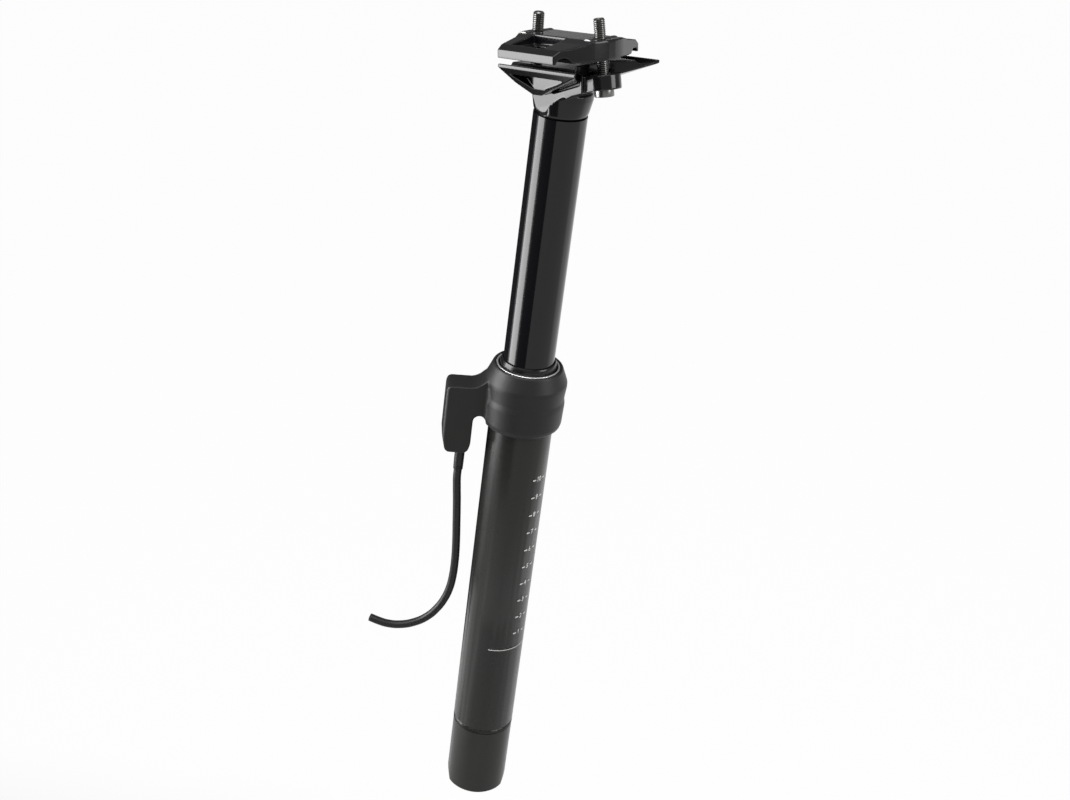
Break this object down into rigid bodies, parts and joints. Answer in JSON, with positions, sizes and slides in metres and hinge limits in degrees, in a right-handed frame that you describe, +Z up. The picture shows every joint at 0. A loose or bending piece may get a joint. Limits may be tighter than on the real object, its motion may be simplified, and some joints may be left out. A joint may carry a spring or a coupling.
{
  "type": "dropper seatpost",
  "caption": "Height-adjustable bicycle seatpost: a stanchion slides in the outer tube, a cable at the collar releases it, and a two-bolt head clamps the saddle rails.",
  "frame": {"origin": "on the post's axis, at the underside of the collar, where the frame's seat tube ends", "axes": "+Z up the post, +X to the front of the bicycle, +Y to its left"},
  "size_m": [0.0734, 0.076, 0.4184],
  "materials": {
    "tube_black": "satin black anodised",
    "gloss_black": "gloss black anodised",
    "collar_black": "matt black cast",
    "grey_alloy": "machined",
    "dark_steel": "black oxide",
    "steel": "ground",
    "bright_ring": "bright",
    "brass": "machined",
    "nylon": "moulded",
    "rubber": "gloss black moulded",
    "ferrule_black": "satin black",
    "cable_black": "satin black extruded"
  },
  "bodies": {
    "outer_post": {"outer_tube": "tube_black", "bottom_cap": "tube_black", "cap_o_ring": "rubber", "actuator_collar": "collar_black", "box_cover": "collar_black", "cover_screw": "dark_steel", "wiper_seal": "rubber", "retaining_ring": "bright_ring", "upper_bushing": "nylon", "cable_ferrule": "ferrule_black", "cable": "cable_black", "lever_pin": "steel", "return_spring": "steel", "foot_block": "grey_alloy", "rocker_pin": "steel", "piston_rod": "steel", "main_piston": "brass", "piston_seal": "rubber", "rod_nut": "steel"},
    "stanchion": {"stanchion": "gloss_black", "seat_head": "gloss_black", "lower_bushing": "nylon", "guide_keys": "brass", "stanchion_end_nut": "grey_alloy", "cartridge_tube": "grey_alloy", "cartridge_gland": "brass", "rod_seal": "rubber", "cartridge_plug": "grey_alloy", "clamp_bolts": "dark_steel", "bolt_washers": "steel"},
    "floating_piston": {"floating_piston": "brass", "floating_seal": "rubber"},
    "clamp": {"lower_clamp": "gloss_black", "upper_clamp": "gloss_black"},
    "front_nut": {"front_barrel_nut": "dark_steel"},
    "rear_nut": {"rear_barrel_nut": "dark_steel"},
    "release_lever": {"release_lever": "steel"},
    "cable_wire": {"cable_wire": "steel", "cable_nipple": "brass"},
    "release_rod": {"release_rod": "steel"},
    "valve_rocker": {"valve_rocker": "steel"},
    "valve_pin": {"valve_pin": "steel"}
  },
  "joints": [
    {"name": "post_travel", "type": "slide", "parent": "outer_post", "child": "stanchion", "axis": [0, 0, 1], "range_m": [-0.11, 0]},
    {"name": "floating_piston_slide", "type": "slide", "parent": "stanchion", "child": "floating_piston", "axis": [0, 0, 1], "range_m": [0, 0.0163]},
    {"name": "clamp_tilt", "type": "hinge", "parent": "stanchion", "child": "clamp", "pos_m": [0.00035, 0, 0.18355], "axis": [0, 1, 0], "range_deg": [-8, 8]},
    {"name": "front_nut_slide", "type": "slide", "parent": "stanchion", "child": "front_nut", "axis": [0.0767, 0, 0.9971], "range_m": [-0.00265, 0.00265]},
    {"name": "rear_nut_slide", "type": "slide", "parent": "stanchion", "child": "rear_nut", "axis": [0.2823, 0, 0.9593], "range_m": [-0.00265, 0.00265]},
    {"name": "lever_turn", "type": "hinge", "parent": "outer_post", "child": "release_lever", "pos_m": [0.01312, 0.01509, 0.0115], "axis": [-0.7547, 0.6561, 0], "range_deg": [0, 15], "deforming": ["return_spring"]},
    {"name": "wire_slide", "type": "slide", "parent": "outer_post", "child": "cable_wire", "axis": [0, 0, -1], "range_m": [0, 0.00199]},
    {"name": "release_rod_slide", "type": "slide", "parent": "outer_post", "child": "release_rod", "axis": [0, 0, 1], "range_m": [0, 0.00182]},
    {"name": "rocker_turn", "type": "hinge", "parent": "outer_post", "child": "valve_rocker", "pos_m": [-0.00525, -0.00604, -0.1617], "axis": [0.7547, -0.6561, 0], "range_deg": [0, 4.92]},
    {"name": "valve_pin_slide", "type": "slide", "parent": "outer_post", "child": "valve_pin", "axis": [0, 0, 1], "range_m": [0, 0.00069]}
  ],
  "couplings": [
    {"joint": "floating_piston_slide", "follows": "post_travel", "ratio": -0.14793},
    {"joint": "front_nut_slide", "follows": "clamp_tilt", "m_per_rad": -0.018904},
    {"joint": "rear_nut_slide", "follows": "clamp_tilt", "m_per_rad": 0.018904},
    {"joint": "lever_turn", "follows": "wire_slide", "rad_per_m": 131.58},
    {"joint": "release_rod_slide", "follows": "wire_slide", "ratio": 0.9079},
    {"joint": "rocker_turn", "follows": "wire_slide", "rad_per_m": 43.028},
    {"joint": "valve_pin_slide", "follows": "wire_slide", "ratio": 0.34421}
  ]
}
